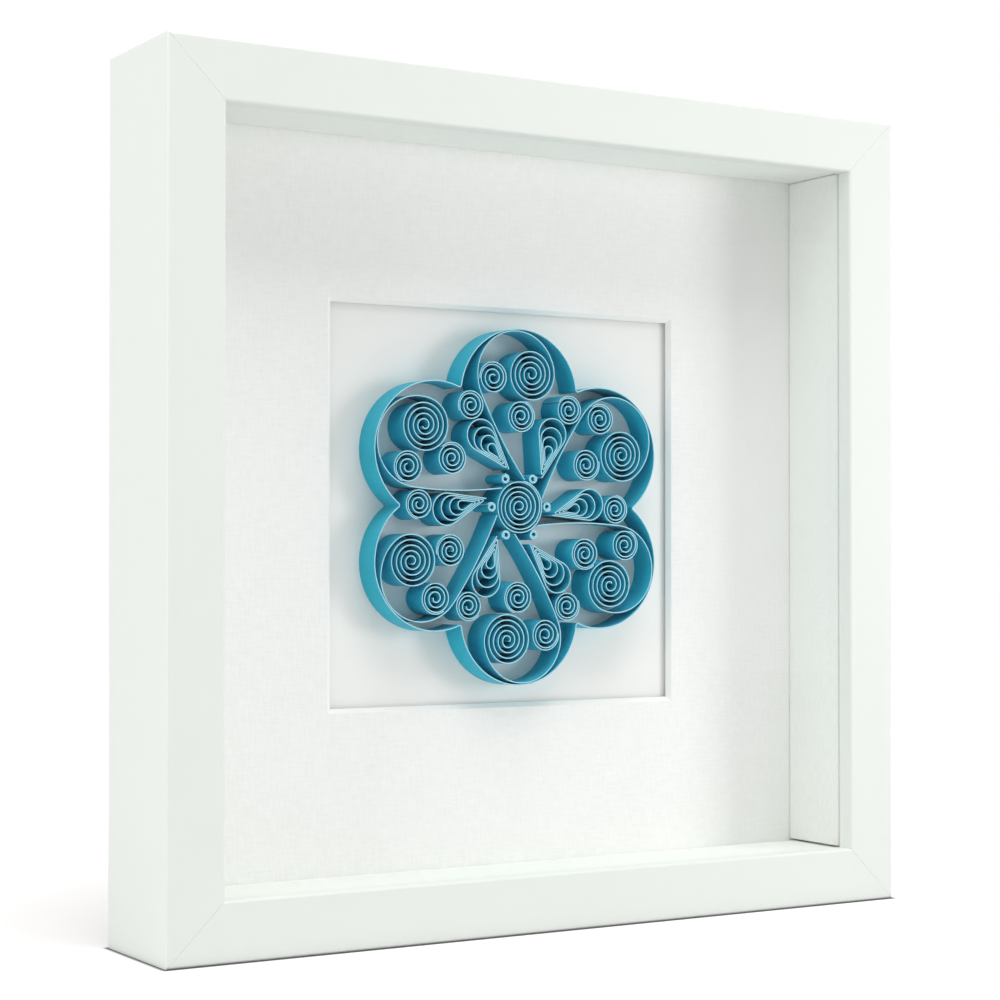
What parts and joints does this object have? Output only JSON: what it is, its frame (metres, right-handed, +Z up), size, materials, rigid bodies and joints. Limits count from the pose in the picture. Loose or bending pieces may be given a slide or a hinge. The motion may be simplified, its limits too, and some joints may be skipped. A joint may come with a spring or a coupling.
{
  "type": "framed quilled paper art",
  "caption": "Deep white square box frame with a clear pane, spacers and a window mat, holding a turquoise quilled paper rosette of scrolls, coils and drops; stands on a shelf or hangs.",
  "frame": {"origin": "middle of the underside of the lower rail, half-way through the frame's depth", "axes": "+Z up, -Y out of the front of the frame, +X to the right as seen from the front"},
  "size_m": [0.25, 0.042, 0.25],
  "materials": {
    "frame_white": "fine-grained white foil, satin",
    "spacer_white": "white foil, matt",
    "clear_pane": "clear acrylic",
    "mat_white": "matt, fine linen",
    "foam_white": "white foam, matt",
    "card_white": "matt",
    "hardboard": "raw hardboard",
    "steel": "zinc plated",
    "quilling_paper": "matt coloured paper, paler cut edges"
  },
  "bodies": {
    "root": {"bottom_rail": "frame_white", "left_rail": "frame_white", "top_rail": "frame_white", "right_rail": "frame_white", "bottom_spacer": "spacer_white", "top_spacer": "spacer_white", "left_spacer": "spacer_white", "right_spacer": "spacer_white", "front_pane": "clear_pane", "window_mat": "mat_white", "foam_tape": "foam_white", "art_card": "card_white", "back_board": "hardboard", "steel_points": "steel", "corner_nails": "steel", "sawtooth_hanger": "steel", "hanger_rivets": "steel", "outline_strip": "quilling_paper", "centre_coil": "quilling_paper", "scroll_1": "quilling_paper", "scroll_2": "quilling_paper", "scroll_3": "quilling_paper", "scroll_4": "quilling_paper", "scroll_5": "quilling_paper", "scroll_6": "quilling_paper", "small_coil_1": "quilling_paper", "small_coil_2": "quilling_paper", "small_coil_3": "quilling_paper", "small_coil_4": "quilling_paper", "small_coil_5": "quilling_paper", "small_coil_6": "quilling_paper", "fill_coil_1": "quilling_paper", "fill_coil_2": "quilling_paper", "fill_coil_3": "quilling_paper", "fill_coil_4": "quilling_paper", "fill_coil_5": "quilling_paper", "fill_coil_6": "quilling_paper", "notch_coil_1": "quilling_paper", "notch_coil_2": "quilling_paper", "notch_coil_3": "quilling_paper", "notch_coil_4": "quilling_paper", "notch_coil_5": "quilling_paper", "notch_coil_6": "quilling_paper", "drop_1": "quilling_paper", "drop_2": "quilling_paper", "drop_3": "quilling_paper", "drop_4": "quilling_paper", "drop_5": "quilling_paper", "drop_6": "quilling_paper", "peg_1": "quilling_paper", "peg_2": "quilling_paper", "peg_3": "quilling_paper", "peg_4": "quilling_paper", "peg_5": "quilling_paper", "peg_6": "quilling_paper"}
  },
  "joints": []
}
